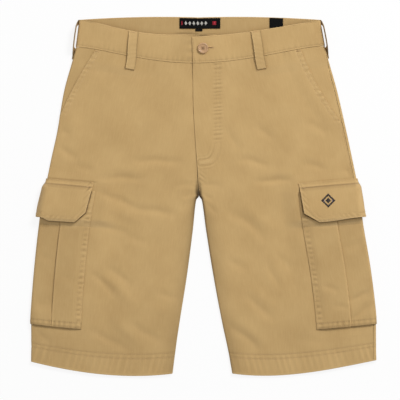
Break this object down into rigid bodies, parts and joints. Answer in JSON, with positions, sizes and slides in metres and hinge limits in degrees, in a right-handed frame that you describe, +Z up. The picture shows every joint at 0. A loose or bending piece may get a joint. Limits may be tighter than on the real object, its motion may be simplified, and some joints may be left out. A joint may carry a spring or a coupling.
{
  "type": "cargo shorts",
  "caption": "Khaki cotton twill cargo shorts laid flat on their back, with belt loops, slanted hip pockets and flapped, box-pleated leg pockets.",
  "frame": {"origin": "on the resting surface, under the middle of the box that the laid out shorts fill", "axes": "+Z up from the surface through the front, +Y towards the waist, +X towards the wearer's left"},
  "size_m": [0.5718, 0.5927, 0.02],
  "materials": {
    "twill": "matt cotton twill, washed",
    "button": "satin polyester, tan",
    "label": "matt woven polyester, black"
  },
  "bodies": {
    "root": {"back_left": "twill", "back_right": "twill", "belt_loop_back": "twill", "belt_loop_front_left": "twill", "belt_loop_front_right": "twill", "belt_loop_side_left": "twill", "belt_loop_side_right": "twill", "button": "button", "care_tab": "label", "cargo_flap_left": "twill", "cargo_flap_right": "twill", "cargo_pocket_left": "twill", "cargo_pocket_right": "twill", "front_left": "twill", "front_right": "twill", "hip_facing_left": "twill", "hip_facing_right": "twill", "size_tab": "label", "waist_label": "label", "waistband_back": "twill", "waistband_left": "twill", "waistband_right": "twill"}
  },
  "joints": []
}
